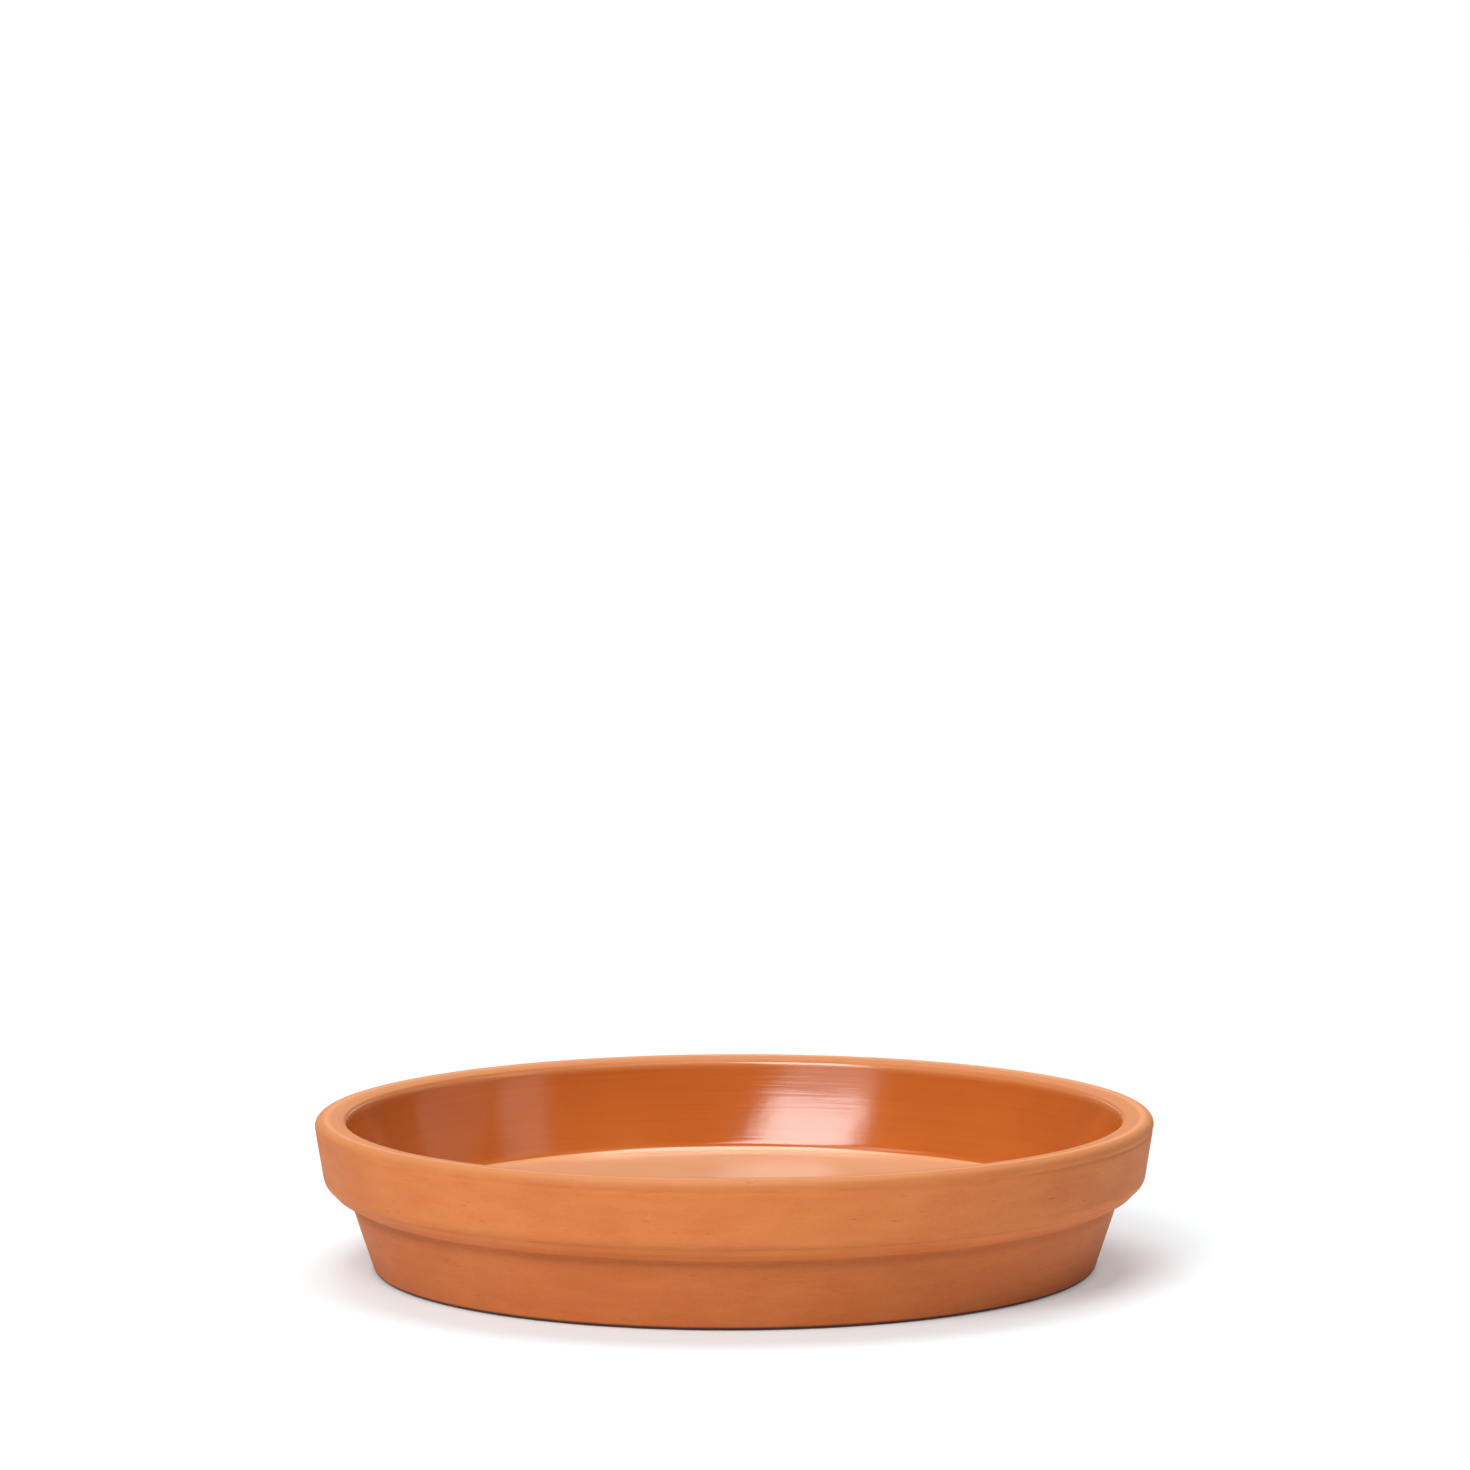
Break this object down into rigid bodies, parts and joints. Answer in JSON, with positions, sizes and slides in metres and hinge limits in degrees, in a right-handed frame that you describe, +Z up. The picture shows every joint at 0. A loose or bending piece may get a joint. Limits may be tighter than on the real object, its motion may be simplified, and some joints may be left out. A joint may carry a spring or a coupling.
{
  "type": "plant pot saucer",
  "caption": "Round terracotta saucer with a stepped rim band, tapered wall and glazed well, which stands on a foot ring and catches water under a plant pot.",
  "frame": {"origin": "centre of the circle that the foot ring stands on, at the level of the surface under it", "axes": "+Z up along the axis of revolution; X and Y are any two square directions across the round rim"},
  "size_m": [0.2, 0.2, 0.0365],
  "materials": {
    "fired_clay": "matte unglazed terracotta with fine turning marks",
    "clear_glaze": "glossy transparent glaze over terracotta"
  },
  "bodies": {
    "root": {"clay_body": "fired_clay", "inner_glaze": "clear_glaze"}
  },
  "joints": []
}
